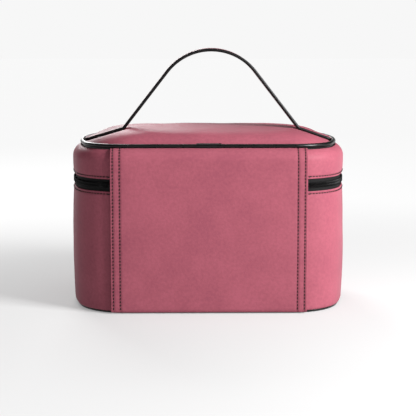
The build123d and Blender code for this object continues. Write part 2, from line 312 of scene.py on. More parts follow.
def put(tree, kind, inputs=None, **settings):
    """Adds a node. An input is a plain value, or another node's output that it is linked to."""
    node = tree.nodes.new(kind)
    for name, value in settings.items():
        setattr(node, name, value)
    for name, value in (inputs or {}).items():
        if isinstance(value, bpy.types.NodeSocket):
            tree.links.new(value, node.inputs[name])
        else:
            node.inputs[name].default_value = value
    return node


def new_finish(name, **sockets):
    """A material with its shader and its object coordinates. Sockets are the shader's constant values."""
    material = bpy.data.materials.new(name)
    material.use_nodes = True
    tree = material.node_tree
    shader = tree.nodes["Principled BSDF"]
    for socket, value in sockets.items():
        shader.inputs[socket.replace("_", " ")].default_value = value
    place = put(tree, "ShaderNodeTexCoord").outputs["Object"]
    return material, tree, shader, place


def clouds(tree, place, width, detail):
    """Fractal noise, mostly between 0.3 and 0.7, in clouds about this wide."""
    return put(tree, "ShaderNodeTexNoise", {"Vector": place, "Scale": 1 / width, "Detail": detail}).outputs["Fac"]


def fade(tree, value, reach, ends, kind="LINEAR"):
    """A number that goes from one of the ends to the other while the value crosses the reach."""
    limits = {"Value": value, "From Min": reach[0], "From Max": reach[1], "To Min": ends[0], "To Max": ends[1]}
    return put(tree, "ShaderNodeMapRange", limits, interpolation_type=kind).outputs["Result"]


def rub(tree, shader, value, smooth, rough):
    """Roughness that follows the clouds, from smooth to rough."""
    tree.links.new(fade(tree, value, (0.3, 0.7), (smooth, rough)), shader.inputs["Roughness"])


def emboss(tree, shader, **inputs):
    """Bumps the finish. Returns the normal, for a finer bump over this one."""
    normal = put(tree, "ShaderNodeBump", inputs).outputs["Normal"]
    tree.links.new(normal, shader.inputs["Normal"])
    return normal


def ramp(tree, factor, stops):
    """A colour ramp with stops that are (position, hex colour)."""
    node = put(tree, "ShaderNodeValToRGB", {"Fac": factor})
    while len(node.color_ramp.elements) < len(stops):
        node.color_ramp.elements.new(0.5)
    for element, (position, text) in zip(node.color_ramp.elements, stops):
        element.position = position
        element.color = colour(text)
    return node.outputs["Color"]


def rose_leather():
    """Drum-dyed smooth cowhide, lightly buffed: fine pebble grain, cloudy dye, a soft satin face, and painted shade
    in the stitch lines' grooves.
    """
    grain_width, crease_width, cloud_width = 1.1 * MM, 2.6 * MM, 30 * MM
    material, tree, shader, place = new_finish("rose_cowhide_drum_dyed", Specular_IOR_Level=0.08)
    cloud = clouds(tree, place, cloud_width, 5.0)
    mottle = clouds(tree, place, crease_width, 4.0)
    mixed = put(tree, "ShaderNodeMath", {0: cloud, 1: mottle}, operation="ADD")
    half = put(tree, "ShaderNodeMath", {0: mixed.outputs[0], 1: 0.5}, operation="MULTIPLY")
    dye = ramp(tree, half.outputs[0], [(0.36, "#884654"), (0.5, "#8F4B58"), (0.64, "#964F5D")])
    # Painted shade: the seam attribute darkens the dye towards #3C161D in the grooves beside the stitch lines.
    seam = put(tree, "ShaderNodeAttribute", attribute_name="seam").outputs["Fac"]
    groove_shade_painted = put(tree, "ShaderNodeMix", {"Factor": seam, "A": dye, "B": colour("#3C161D")}, data_type="RGBA")
    tree.links.new(groove_shade_painted.outputs["Result"], shader.inputs["Base Color"])
    grain = {"Vector": place, "Scale": 1 / grain_width, "Randomness": 1.0}
    pebble = put(tree, "ShaderNodeTexVoronoi", grain, feature="SMOOTH_F1").outputs["Distance"]
    crease = clouds(tree, place, crease_width, 6.0)
    rub(tree, shader, crease, 0.46, 0.56)
    creased = emboss(tree, shader, Height=crease, Strength=0.18, Distance=0.4 * MM)
    emboss(tree, shader, Height=pebble, Strength=0.35, Distance=0.12 * MM, Normal=creased)
    return material


def black_edge_paint():
    """Black edge paint brushed on a cut leather edge: thick, slightly wavy, half gloss."""
    wave_width = 2.2 * MM
    material, tree, shader, place = new_finish(
        "black_edge_paint", Base_Color=colour("#060506"), Roughness=0.45, Specular_IOR_Level=0.25
    )
    emboss(tree, shader, Height=clouds(tree, place, wave_width, 3.0), Strength=0.3, Distance=0.2 * MM)
    return material


def piping_vinyl():
    """Calendered black PVC wrapped round a cord: glossy, with small pulls where the stitches draw it in."""
    pull_width, dust_width = 3.0 * MM, 9 * MM
    material, tree, shader, place = new_finish(
        "black_pvc_piping_calendered", Base_Color=colour("#040404"), Specular_IOR_Level=0.3
    )
    rub(tree, shader, clouds(tree, place, dust_width, 4.0), 0.24, 0.42)
    emboss(tree, shader, Height=clouds(tree, place, pull_width, 2.0), Strength=0.4, Distance=0.5 * MM)
    return material


def woven(name, dark, light, thread, roughness=0.8):
    """Woven polyester: warp and weft threads cross at right angles and catch the light in turn, with painted
    highlight on the raised threads and painted shade between them.
    """
    material, tree, shader, place = new_finish(name, Roughness=roughness, Specular_IOR_Level=0.25)
    axes = put(tree, "ShaderNodeSeparateXYZ", {"Vector": place})
    flat = put(tree, "ShaderNodeMath", {0: axes.outputs["X"], 1: axes.outputs["Y"]}, operation="ADD")
    waves = []
    for source in (flat.outputs[0], axes.outputs["Z"]):
        turned = put(tree, "ShaderNodeMath", {0: source, 1: 2 * pi / thread}, operation="MULTIPLY")
        waves.append(put(tree, "ShaderNodeMath", {0: turned.outputs[0]}, operation="SINE"))
    both = put(tree, "ShaderNodeMath", {0: waves[0].outputs[0], 1: waves[1].outputs[0]}, operation="MULTIPLY")
    raised = fade(tree, both.outputs[0], (-1, 1), (0, 1))
    # Painted highlight and shade of the weave: the colour runs from the dark end between the threads to the light
    # end on the raised ones.
    tree.links.new(ramp(tree, raised, [(0.1, dark), (0.9, light)]), shader.inputs["Base Color"])
    emboss(tree, shader, Height=raised, Strength=0.5, Distance=0.25 * thread)
    return material


def thread_nylon():
    """Bonded black nylon thread: two plies twisted round each other, slightly shiny."""
    twist = 0.9 * MM
    material, tree, shader, place = new_finish("black_nylon_thread_bonded", Roughness=0.5, Specular_IOR_Level=0.2)
    plies = {"Vector": place, "Scale": 1 / twist / 6, "Distortion": 0.5}
    turns = put(tree, "ShaderNodeTexWave", plies, bands_direction="DIAGONAL").outputs["Color"]
    tint = ramp(tree, turns, [(0.2, "#050404"), (0.8, "#120D0F")])
    tree.links.new(tint, shader.inputs["Base Color"])
    return material


def coil_nylon():
    """Extruded nylon monofilament, wound as a coil: smooth and faintly glossy."""
    speck_width = 1.5 * MM
    material, tree, shader, place = new_finish("black_nylon_coil_extruded", Roughness=0.4, Specular_IOR_Level=0.22)
    tint = ramp(tree, clouds(tree, place, speck_width, 2.0), [(0.35, "#060607"), (0.7, "#0E0E0F")])
    tree.links.new(tint, shader.inputs["Base Color"])
    return material


def slider_zinc():
    """Die-cast zinc with a black nickel plate: dark, mirror-like, rubbed a little dull."""
    wear_width = 3 * MM
    material, tree, shader, place = new_finish("black_nickel_zinc_die_cast", Metallic=1.0)
    wear = clouds(tree, place, wear_width, 6.0)
    tree.links.new(ramp(tree, wear, [(0.35, "#3A3A3D"), (0.7, "#56565A")]), shader.inputs["Base Color"])
    rub(tree, shader, wear, 0.2, 0.38)
    return material


def pressed_board():
    """Pressed fibre inside the walls: flecked and dull."""
    fibre_width = 0.8 * MM
    material, tree, shader, place = new_finish("fibre_board_pressed", Roughness=0.9)
    speck = clouds(tree, place, fibre_width, 6.0)
    tree.links.new(ramp(tree, speck, [(0.3, "#4A3D31"), (0.7, "#6B5A49")]), shader.inputs["Base Color"])
    emboss(tree, shader, Height=speck, Strength=0.3, Distance=0.2 * MM)
    return material


finish = {
    "leather": rose_leather(),
    "edge": black_edge_paint(),
    "piping": piping_vinyl(),
    "tape": woven("black_polyester_zip_tape_woven", "#040405", "#0C0C0D", 0.9 * MM),
    "lining": woven("charcoal_polyester_lining_woven", "#332F32", "#544E52", 0.7 * MM, 0.7),
    "elastic": woven("black_elastic_ribbed", "#19191A", "#39393C", 1.4 * MM),
    "thread": thread_nylon(),
    "coil": coil_nylon(),
    "slider": slider_zinc(),
    "board": pressed_board(),
}

# ---- Leather walls ----
EDGE_STITCH = 2.2 * MM  # stitch line to the folded edge beside the zip
GROOVE = 0.28 * MM
GROOVE_WIDTH = 1.1 * MM
# Painted shade: the leather's colour is darkened beside each stitch line, by SHADE at most.
SHADE_WIDTH = 0.9 * MM  # the leather is darker this close to a stitch line
SHADE = 0.3
FOLD = 0.7 * MM  # rounding of a folded edge
FOLD_START = 0.35  # angle at which the rounding leaves the leather's face
FOOT_ANGLES = (0.62, 0.5, 0.38, 0.25, 0.12)  # below the level, round the back panel's foot


def groove(distance):
    """Depth that a stitch line pulls the leather in, at a distance from the line."""
    return GROOVE * exp(-((distance / GROOVE_WIDTH) ** 2))


def shade_beside(stitch_z):
    """How much painted shade a stitch line at a height lays on the leather, for each place."""
    return lambda p: SHADE * exp(-(((p.z - stitch_z) / SHADE_WIDTH) ** 2))


def heights(low, high, fine_at, coarse=4 * MM, fine=0.5 * MM, reach=4 * MM):
    """Heights from low to high, closer together near the heights in fine_at."""
    found, z = [], low
    while z < high - 0.3 * fine:
        found.append(z)
        near = min(abs(z - at) for at in fine_at)
        z += fine if near < reach else min(coarse, fine + (near - reach) * 0.5)
    return found + [high]


def foot_inset(z):
    """Inset of the wall's rounded foot at a height."""
    return FOOT_RADIUS - sqrt(max(0, FOOT_RADIUS**2 - (FOOT_RADIUS - z) ** 2)) if z < FOOT_RADIUS else 0


def arc(centre_inset, centre_z, radius, start, stop, steps):
    """Points (inset, height) on an arc. Angle 0 faces outwards and 90 degrees faces up."""
    angles = [start + (stop - start) * i / steps for i in range(steps + 1)]
    return [(centre_inset - radius * cos(a), centre_z + radius * sin(a)) for a in angles]


def leather_wall(name, body, section, stitch_z, *replaced):
    """Sweeps a wall's section from one side of the back panel round to the other."""
    bm = bmesh.new()
    loop = profile(bm, section, wall_tuck)
    sweep(bm, loop, round_the_case(wall_tuck, -wall_tuck))
    cap_ends(bm)
    # Painted shade along the stitch line beside the zip.
    paint_seam_shade(bm, shade_beside(stitch_z))
    relax(bm)
    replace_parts(make_piece(name, bm, body, [finish["leather"]]), *replaced)


def base_wall_piece():
    """From the rounded foot up to the folded edge under the zip."""
    stitch_z = base_edge - EDGE_STITCH
    rise = heights(wall_low, base_edge - FOLD, [wall_low, base_edge])
    outer = [(foot_inset(z) + groove(z - stitch_z), z) for z in rise]
    fold = arc(FOLD, base_edge - FOLD, FOLD, FOLD_START, pi - FOLD_START, 5)
    fall = (base_edge - FOLD, base_edge / 2, FOOT_RADIUS, wall_low + 0.4 * MM)
    inner = [(foot_inset(z) + leather, z) for z in fall]
    leather_wall("base_leather_wall", "base", outer + fold + inner, stitch_z, "base_wall", "base_foam")


def shoulder(offset, stop_inset, steps):
    """The rounding of the wall towards the top seam, at an offset inwards from the wall's face."""
    radius = SHOULDER_RADIUS - offset
    stop = acos((SHOULDER_RADIUS - stop_inset) / radius)
    return arc(SHOULDER_RADIUS, form_top - SHOULDER_RADIUS, radius, 0, stop, steps)


SEAM_END_INSET = bead_inset - 1.3 * MM  # the walls run in beside the piping as far as this


def lid_wall_piece():
    """From the folded edge over the zip up to the seam beside the top piping."""
    stitch_z = lid_edge + EDGE_STITCH
    straight_top = form_top - SHOULDER_RADIUS
    rise = heights(lid_edge + FOLD, straight_top, [lid_edge])
    outer = [(groove(z - stitch_z), z) for z in rise[:-1]] + shoulder(0, SEAM_END_INSET, 14)
    inner = shoulder(leather, SEAM_END_INSET, 8)[::-1]
    inner += [(leather, z) for z in (straight_top - 6 * MM, lid_edge + FOLD)]
    fold = arc(FOLD, lid_edge + FOLD, FOLD, pi + FOLD_START, 2 * pi - FOLD_START, 5)
    leather_wall("lid_leather_wall", "lid", outer + inner + fold, stitch_z, "lid_wall", "lid_foam")


# ---- Back panel, one piece of leather from the bottom seam to the top seam ----
PANEL_ROWS = (2.3 * MM, 8.7 * MM)  # stitch rows, inside each folded side edge
STITCHED_ZONE = 12 * MM  # finer mesh beside each side edge


def panel_groove(point):
    """Depth of the stitch rows' grooves in the back panel."""
    return sum(groove(abs(point.x) - (panel_half - row)) for row in PANEL_ROWS)


def foot_round(radius, angles):
    """Points (inset, height) round the middle of the foot's rounding."""
    return [(FOOT_RADIUS - radius * cos(a), FOOT_RADIUS - radius * sin(a)) for a in angles]


def back_panel_piece():
    """The panel's section, swept across the back, with rounded side edges and two grooves beside each."""
    straight_top = form_top - SHOULDER_RADIUS
    rise = heights(FOOT_RADIUS, straight_top, [zip_height], coarse=5 * MM, fine=1.2 * MM, reach=9 * MM)
    outer = foot_round(FOOT_RADIUS + leather, FOOT_ANGLES) + [(-leather, z) for z in rise[:-1]]
    outer += shoulder(-leather, SEAM_END_INSET, 14)
    inner = shoulder(0, SEAM_END_INSET, 8)[::-1] + [(0, z) for z in rise[::-1][1:]]
    inner += foot_round(FOOT_RADIUS, FOOT_ANGLES[:0:-1])
    bm = bmesh.new()
    loop = profile(bm, outer + inner, -panel_half)
    edge_move = straight((STITCHED_ZONE, 0, 0), 0.6 * MM)
    sweep(bm, loop, [edge_move, straight((2 * (panel_half - STITCHED_ZONE), 0, 0)), edge_move])
    cap_ends(bm)
    rims = [edge for edge in bm.edges if all(abs(abs(v.co.x) - panel_half) < 0.01 * MM for v in edge.verts)]
    round_off(bm, rims)
    bmesh.ops.recalc_face_normals(bm, faces=bm.faces)
    for vert in bm.verts:
        vert.co -= outward(vert.co) * panel_groove(vert.co)
    # Painted shade in the stitch rows' grooves, as strong as the groove is deep.
    paint_seam_shade(bm, lambda p: SHADE * min(1, panel_groove(p) / GROOVE))
    relax(bm)
    piece = make_piece("back_leather_panel", bm, None, [finish["leather"]])
    bend_at_hinge(piece)
    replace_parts(piece, "back_panel_lower", "back_panel_fold", "back_panel_upper")


# ---- Stitching ----
STITCH_PITCH = 3.2 * MM
STITCH_LENGTH = 2.2 * MM
THREAD = 1.0 * MM  # drawn a little heavier than thread is, so that it shows
THREAD_PROUD = 0.25 * MM
ROW_END_TOP = 2.2 * MM  # ends of the back panel's rows, short of the piping above and of the bottom
ROW_END_LOW = 2.5 * MM
STITCH_SHAPE = Matrix.Diagonal((STITCH_LENGTH / 2, THREAD / 2, THREAD / 2, 1))


def stitch_row(bm, start, lie, moves):
    """Stitches along the moves. Each is a drawn-out ball that lies along the row, half sunk in the leather."""
    first = Matrix.Translation(start) @ lie @ STITCH_SHAPE
    for pose in poses(moves, STITCH_PITCH):
        bmesh.ops.create_icosphere(bm, subdivisions=2, radius=1, matrix=pose @ first)


def edge_stitching(name, body, stitch_z):
    """The row beside the zip, from one side of the back panel round to the other."""
    bm = bmesh.new()
    first_x = panel_half + 1.5 * MM
    start = (first_x, half_depth - GROOVE + THREAD_PROUD, stitch_z)
    stitch_row(bm, start, Matrix.Identity(4), round_the_case(first_x, -first_x))
    relax(bm)
    make_piece(name, bm, body, [finish["thread"]])


def panel_stitching():
    """Two rows down each side of the back panel."""
    bm = bmesh.new()
    upright = Matrix.Rotation(pi / 2, 4, "Y")
    centre_y, centre_z = half_depth - SHOULDER_RADIUS, form_top - SHOULDER_RADIUS
    radius = SHOULDER_RADIUS + leather
    top_turn = acos((SHOULDER_RADIUS - bead_inset + ROW_END_TOP) / radius)
    start_z = wall_low + ROW_END_LOW
    for side in (-1, 1):
        for row in PANEL_ROWS:
            x = side * (panel_half - row)
            start = (x, panel_face - GROOVE + THREAD_PROUD, start_z)
            moves = [straight((0, 0, centre_z - start_z)), turn((x, centre_y, centre_z), "X", top_turn, radius)]
            stitch_row(bm, start, upright, moves)
    relax(bm)
    bend_at_hinge(make_piece("back_panel_stitching", bm, None, [finish["thread"]]))


# ---- Lid top ----
DOME_RISE = 13.4 * MM
DOME_POWER = 9
STRAP_FOOT = (84.5 * MM, seam_height + 11.5 * MM)  # bend of the strap's middle line, and its end at the piping
STRAP_SEAM = (118.6 * MM, seam_height + 0.6 * MM)
LEAN = 3 * MM  # the legs and the arch stand this far towards -X
PAD_RISE_BACK = 0.07  # slope of the pressed pad away from the strap's edges, towards the back and the front
PAD_RISE_FRONT = 0.14
STRAP_THICKNESS = 3 * MM
strap_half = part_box("handle_strap")[1].y
TOP_EDGE_INSET = bead_inset + 0.9 * MM
TOP_WAVE = 0.9 * MM
TOP_RIM = 0.12  # share of the way in from the piping over which the waves grow
PUCKER = 0.5 * MM  # height of the puckers along the piping
PUCKER_START, PUCKER_REACH = 0.015, 0.05  # shares of the way in where they are highest and where they fade
PUCKER_SCALE = 160  # noise scale, per metre
DENT_START = 16 * MM  # the pad starts to sink this far inside the strap's bend, and lies under it at DENT_FULL
DENT_FULL = 2 * MM
DENT_GAP = 0.1 * MM
dome_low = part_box("lid_top_panel")[0].z
dome_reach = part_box("lid_top_panel")[1].x


def dome_height(share):
    """Height of the padded top at a share of the way out to its rim."""
    return dome_low + DOME_RISE * (1 - min(1, share) ** DOME_POWER)


def dent(point):
    """How far the strap presses the padded top down at a place."""
    x = abs(point.x)
    foot_x = STRAP_FOOT[0] - (LEAN if point.x > 0 else -LEAN)
    along = (x - foot_x) / (STRAP_SEAM[0] - foot_x)
    under = STRAP_FOOT[1] + (STRAP_SEAM[1] - STRAP_FOOT[1]) * along - STRAP_THICKNESS / 2 - DENT_GAP
    beside = max(0, abs(point.y) - strap_half)
    under += beside * (PAD_RISE_BACK if point.y > 0 else PAD_RISE_FRONT)
    return max(0, point.z - under) * smooth_step(x, foot_x - DENT_START, foot_x - DENT_FULL)


def lid_top_piece():
    """The padded top: rings of the plan that shrink towards the middle and rise with the dome."""
    bm = bmesh.new()
    ring = plan_ring(bm, TOP_EDGE_INSET, dome_low)
    shares = [1 - 0.5 * (i / 14) ** 1.3 for i in range(15)] + [0.44 - 0.055 * i for i in range(8)]
    reach = (half_width - TOP_EDGE_INSET) / dome_reach
    before = 1
    for share in shares[1:]:
        ring, verts = extrude(bm, ring)
        bmesh.ops.scale(bm, vec=(share / before, share / before, 1), verts=verts)
        lift = dome_height(share * reach) - verts[0].co.z
        bmesh.ops.translate(bm, vec=(0, 0, lift), verts=verts)
        before = share
    bmesh.ops.holes_fill(bm, edges=ring, sides=0)
    bmesh.ops.recalc_face_normals(bm, faces=bm.faces)
    if sum(face.normal.z for face in bm.faces) < 0:
        bmesh.ops.reverse_faces(bm, faces=bm.faces)
    for vert in bm.verts:
        share = max(abs(vert.co.x) / (half_width - TOP_EDGE_INSET), abs(vert.co.y) / (half_depth - TOP_EDGE_INSET))
        inside = smooth_step(1 - share, 0, TOP_RIM)
        rim = exp(-((1 - share) / PUCKER_REACH)) * smooth_step(1 - share, 0, PUCKER_START)
        wave = 0.8 * noise.noise(vert.co * 20) + 0.3 * noise.noise(vert.co * 55)
        pucker = noise.noise(vert.co * PUCKER_SCALE)
        vert.co.z += TOP_WAVE * inside * wave + PUCKER * rim * pucker
        vert.co.z -= dent(vert.co)
    thicken(bm, leather)
    piece = make_piece("lid_leather_top", bm, "lid", [finish["leather"]])
    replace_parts(piece, "lid_top_panel", "lid_padding")


# ---- Strap handle ----
ARCH_OUTER = 55 * MM
ARCH_RADIUS = ARCH_OUTER - STRAP_THICKNESS / 2
arch_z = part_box("handle_strap")[1].z - ARCH_OUTER
BEND_RADIUS = 5 * MM
PAINTED_EDGE = 1.2 * MM  # edge paint wraps this far round onto the strap's faces
STRAP_ROW = 3 * MM  # stitch row to the strap's edge
STRAP_CROWN = 1.0 * MM  # the painted edge stands out this far
STRAP_GROOVE = 0.8  # its stitch lines pull in this share of the walls' grooves, on the upper face
STRAP_SHADE = 0.5
STRAP_SHADE_WIDTH = 0.8 * MM
STRAP_STITCH_DEPTH = 0.5 * MM


def strap_frames():
    """Places along one strap from piping to piping: it lies on the dome, bends up, and closes in an arch."""
    seam, foot = Vector(STRAP_SEAM), Vector(STRAP_FOOT)
    foot_x, foot_z = foot
    away = hypot(foot_x, foot_z - arch_z)
    swing = atan2(foot_z - arch_z, foot_x) + atan2(sqrt(away**2 - ARCH_RADIUS**2), ARCH_RADIUS)
    leg_top = (ARCH_RADIUS * cos(swing), arch_z + ARCH_RADIUS * sin(swing))
    line = [tuple(seam.lerp(foot, i / 8)) for i in range(8)]
    lead = (foot - seam).normalized()
    leg = (Vector(leg_top) - foot).normalized()
    corner_angle = lead.angle(leg)
    trim = BEND_RADIUS * sin(corner_angle / 2) / cos(corner_angle / 2)
    bend_in, bend_out = foot - lead * trim, foot + leg * trim
    line.append(tuple(bend_in))
    for i in range(1, 8):
        t = i / 8  # a quadratic curve whose control point is the foot
        line.append(tuple(bend_in * (1 - t) ** 2 + foot * 2 * t * (1 - t) + bend_out * t**2))
    line.append(tuple(bend_out))
    line += [tuple(bend_out.lerp(Vector(leg_top), i / 12)) for i in range(1, 12)]
    for i in range(25):
        angle = swing + (pi / 2 - swing) * i / 24
        line.append((ARCH_RADIUS * cos(angle), arch_z + ARCH_RADIUS * sin(angle)))
    line += [(-x, z) for x, z in line[-2::-1]]
    line = [(x - LEAN * min(1, max(0, (z - seam.y) / (foot_z - seam.y))), z) for x, z in line]
    headings = []
    for i in range(len(line)):
        (x0, z0), (x1, z1) = line[max(i - 1, 0)], line[min(i + 1, len(line) - 1)]
        headings.append(atan2(z1 - z0, x1 - x0))
    tilts = [Matrix.Rotation(-heading, 4, "Y") for heading in headings]
    return [Matrix.Translation((x, 0, z)) @ tilt for (x, z), tilt in zip(line, tilts)]


def strap_section(bm):
    """The strap's section across Y: two leather faces and two domed, painted edges."""
    half_t, crown = STRAP_THICKNESS / 2, STRAP_CROWN
    flat = [-strap_half + crown + (2 * (strap_half - crown)) * i / 20 for i in range(21)]
    inset_row = strap_half - STRAP_ROW
    rounding = [(crown * sin(a), half_t * cos(a)) for a in (0.5, 0.95, 1.4, 1.75, 2.2, 2.65)]
    points = [(y, half_t - STRAP_GROOVE * groove(abs(y) - inset_row)) for y in flat]
    points += [(strap_half - crown + out, z) for out, z in rounding]
    points += [(y, -half_t) for y in flat[::-1]]
    points += [(-strap_half + crown - out, -z) for out, z in rounding]
    return loop_through(bm, [(0, y, z) for y, z in points])


def handle_piece():
    """The whole strap with painted edges, and its stitching."""
    frames = strap_frames()
    bm = bmesh.new()
    loop = strap_section(bm)
    bmesh.ops.transform(bm, matrix=frames[0], verts=bm.verts)
    carry(bm, loop, frames)
    cap_ends(bm)
    for face in bm.faces:
        if abs(face.calc_center_median().y) > strap_half - PAINTED_EDGE:
            face.material_index = 1
    # Painted shade beside the strap's stitch lines.
    paint_seam_shade(bm, lambda p: STRAP_SHADE * exp(-(((abs(p.y) - strap_half + STRAP_ROW) / STRAP_SHADE_WIDTH) ** 2)))
    piece = make_piece("strap_handle", bm, None, [finish["leather"], finish["edge"]])
    bend_at_strap_feet(piece)
    roots, anchors = ("handle_root_left", "handle_root_right"), ("handle_anchor_left", "handle_anchor_right")
    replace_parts(piece, "handle_strap", *roots, *anchors)
    strap_stitching(frames)


def strap_stitching(frames):
    """A row along each edge, on both faces of the strap."""
    stitches = bmesh.new()
    travelled, due = 0, 2 * MM
    for before, after in zip(frames, frames[1:]):
        step = (after.translation - before.translation).length
        while due <= travelled + step:
            pose = before.lerp(after, (due - travelled) / step)
            for side in (-1, 1):
                for face in (-1, 1):
                    lift = face * (STRAP_THICKNESS / 2 - STRAP_STITCH_DEPTH)
                    place = pose @ Matrix.Translation((0, side * (strap_half - STRAP_ROW), lift)) @ STITCH_SHAPE
                    bmesh.ops.create_icosphere(stitches, subdivisions=1, radius=1, matrix=place)
            due += STITCH_PITCH
        travelled += step
    bend_at_strap_feet(make_piece("strap_stitching", stitches, None, [finish["thread"]]))


# ---- Zip teeth ----
TOOTH_PITCH = 1.3 * MM
TOOTH_WIRE = 0.62 * MM
TOOTH_REACH = 3.1 * MM
TOOTH_LAP = 0.7 * MM
TOOTH_DEPTH = 1.7 * MM
TOOTH_SUNK = 0.35 * MM  # middle of a tooth behind the walls' outer face
CHAIN_GAP = 0.3 * MM  # each end of the chain to the back panel


def zip_teeth(name, body, side):
    """One half of the chain: loops of the coil, each seen as a short rod across the zip, lapped past the middle."""
    first_x = panel_half + CHAIN_GAP
    length = TOOTH_REACH + TOOTH_LAP
    middle = side * (TOOTH_REACH - TOOTH_LAP) / 2
    bm = bmesh.new()
    size = Matrix.Diagonal((TOOTH_WIRE / 2, TOOTH_DEPTH / 2, length / 2, 1))
    first_tooth = first_x + (TOOTH_PITCH / 2 if side > 0 else 0)
    start = Vector((first_tooth, half_depth - TOOTH_SUNK, zip_height + middle))
    for pose in poses(round_the_case(first_x, -first_x), TOOTH_PITCH):
        bmesh.ops.create_icosphere(bm, subdivisions=1, radius=1, matrix=pose @ Matrix.Translation(start) @ size)
    piece = make_piece(name, bm, body, [finish["coil"]])
    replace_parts(piece, "zip_coil_lower" if side < 0 else "zip_coil_upper")


# ---- Linings ----
LINING = 0.6 * MM
CLOTH_INSET = 5.5 * MM
FLOOR_INSET = 6.3 * MM
HEM_INSET = 2.6 * MM
HEM_DROP = 0.3 * MM
WALL_SLACK = 1.4 * MM
FLOOR_SLACK = 0.7 * MM
HINGE_OVERLAP = 1.5 * MM
GATHER_WIDTH = 6.2 * MM  # sets the spacing of the pocket's gathers
POCKET_EDGE = 9 * MM  # the pocket lies flat at its sides and is free this far from them


def cloth_wall(name, body, low, high, hem_side, replaced):
    """Wall lining: a band of cloth inside the walls, turned outwards over the foam at the zip."""
    steps = 22
    rise = [low + (high - low) * i / steps for i in range(steps + 1)]
    inside = [(CLOTH_INSET + LINING, z) for z in rise]
    outside = [(CLOTH_INSET, z) for z in rise[::-1]]
    bm = bmesh.new()
    if hem_side > 0:
        hem = [(CLOTH_INSET + LINING, high - HEM_DROP), (CLOTH_INSET, high)]
        hem += [(HEM_INSET, high), (HEM_INSET, high - LINING)]
        points = inside[:-1] + hem + outside[1:]
    else:
        hem = [(HEM_INSET, low + LINING), (HEM_INSET, low)]
        hem += [(CLOTH_INSET, low), (CLOTH_INSET + LINING, low + HEM_DROP)]
        points = inside[1:] + outside[:-1] + hem
    loop = profile(bm, points)
    sweep(bm, loop, round_the_case(0, 0), close=True)
    bmesh.ops.recalc_face_normals(bm, faces=bm.faces)
    for vert in bm.verts:
        share = (vert.co.z - low) / (high - low)
        slack = sin(pi * min(1, max(0, share)))
        wave = 0.5 + 0.5 * noise.noise(Vector((vert.co.x * 30, vert.co.y * 30, vert.co.z * 14)))
        vert.co -= outward(vert.co) * WALL_SLACK * slack * wave
    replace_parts(make_piece(name, bm, body, [finish["lining"]]), replaced)


def cloth_floor(name, body, z, up, replaced):
    """Floor or ceiling lining: the plan filled with cloth that lies softly on its board."""
    bm = bmesh.new()
    ring = plan_ring(bm, FLOOR_INSET, z, 5 * MM)
    before = 1
    for i in range(1, 12):
        share = 1 - i / 12
        ring, verts = extrude(bm, ring)
        bmesh.ops.scale(bm, vec=(share / before, share / before, 1), verts=verts)
        before = share
    bmesh.ops.holes_fill(bm, edges=ring, sides=0)
    for vert in bm.verts:
        share = max(abs(vert.co.x) / half_width, abs(vert.co.y) / half_depth)
        vert.co.z += up * FLOOR_SLACK * smooth_step(0.93 - share, 0, 0.2) * (0.5 + 0.5 * noise.noise(vert.co * 28))
    thicken(bm, LINING * up)
    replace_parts(make_piece(name, bm, body, [finish["lining"]]), replaced)


def hinge_cloth():
    """Strip of lining across the hinge, swept straight across the back."""
    low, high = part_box("hinge_lining")
    bm = bmesh.new()
    rise = [low.z - HINGE_OVERLAP + (high.z - low.z + 2 * HINGE_OVERLAP) * i / 14 for i in range(15)]
    inset = CLOTH_INSET + 0.1 * MM
    half = corner_x - 0.2 * MM
    loop = profile(bm, [(inset, z) for z in rise] + [(inset - LINING, z) for z in rise[::-1]], -half)
    sweep(bm, loop, [straight((2 * half, 0, 0))])
    cap_ends(bm)
    piece = make_piece("hinge_cloth_strip", bm, None, [finish["lining"]])
    bend_at_hinge(piece)
    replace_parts(piece, "hinge_lining")


def upright_grid(columns, rows, width, height, middle):
    """A flat grid of faces that stands square to Y."""
    bm = bmesh.new()
    bmesh.ops.create_grid(bm, x_segments=columns, y_segments=rows, size=0.5)
    place = Matrix.Translation(middle) @ Matrix.Rotation(pi / 2, 4, "X") @ Matrix.Diagonal((width, height, 1, 1))
    bmesh.ops.transform(bm, matrix=place, verts=bm.verts)
    return bm


def slip_pocket():
    """Flat pocket on the inside of the back, gathered a little by the elastic along its mouth."""
    low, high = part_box("slip_pocket")
    band_low, band_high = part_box("pocket_elastic")
    width, height = high.x - low.x, high.z - low.z
    bm = upright_grid(70, 26, width, height, ((low.x + high.x) / 2, low.y, (low.z + high.z) / 2))
    for vert in bm.verts:
        rise = (vert.co.z - low.z) / height
        side = smooth_step(min(vert.co.x - low.x, high.x - vert.co.x), 0, POCKET_EDGE)
        gather = sin(vert.co.x / GATHER_WIDTH + 1.6 * noise.noise(vert.co * 40)) * rise**1.6
        sag = sin(pi * rise) * 1.2 * MM + 0.9 * MM
        vert.co.y -= side * (sag + 0.7 * MM * gather) - 0.2 * MM
    thicken(bm, 0.35 * MM)
    pocket = make_piece("pocket_cloth", bm, "base", [finish["lining"]])
    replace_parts(pocket, "slip_pocket")
    band_middle = (0, band_low.y, (band_low.z + band_high.z) / 2)
    band = upright_grid(90, 4, width, band_high.z - band_low.z, band_middle)
    for vert in band.verts:
        side = smooth_step(min(vert.co.x - low.x, high.x - vert.co.x), 0, POCKET_EDGE)
        vert.co.y -= side * (1.5 * MM + 0.45 * MM * sin(vert.co.x / GATHER_WIDTH))
    thicken(band, 0.8 * MM)
    elastic = make_piece("pocket_elastic_band", band, "base", [finish["elastic"]])
    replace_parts(elastic, "pocket_elastic")


